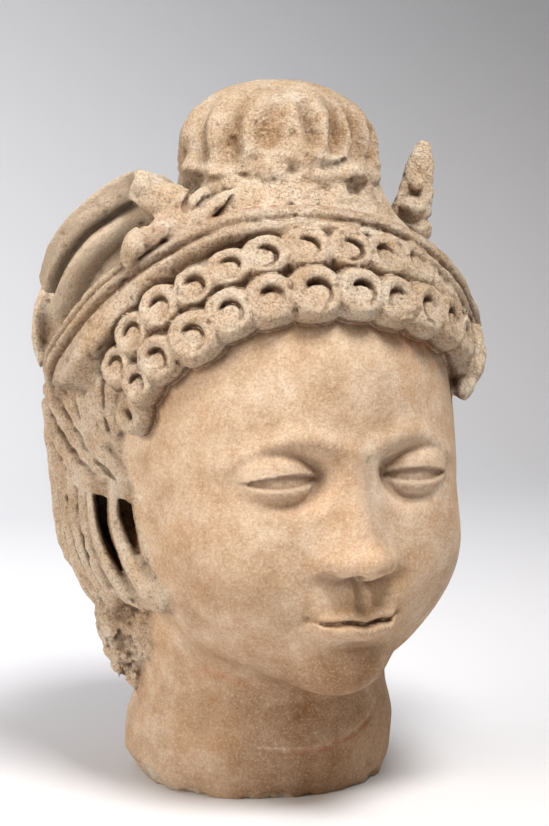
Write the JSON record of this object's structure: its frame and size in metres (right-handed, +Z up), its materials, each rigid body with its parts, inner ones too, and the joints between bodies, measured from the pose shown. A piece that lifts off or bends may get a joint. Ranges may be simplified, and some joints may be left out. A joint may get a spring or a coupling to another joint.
{
  "type": "stucco bodhisattva head",
  "caption": "Over-life-size stucco head of a bodhisattva with curled fringe, jewelled headband, dome topknot and broken neck, standing on the flat underside of its neck.",
  "frame": {"origin": "centre of the flat underside of the neck", "axes": "+Z up along the head, the face looks along -Y, the head's right side is at -X"},
  "size_m": [0.353, 0.3815, 0.5451],
  "materials": {
    "stucco": "weathered lime stucco, matt and sandy, buff to tan with brown dirt in the hollows and traces of red paint"
  },
  "bodies": {
    "root": {"stucco_head": "stucco"}
  },
  "joints": []
}
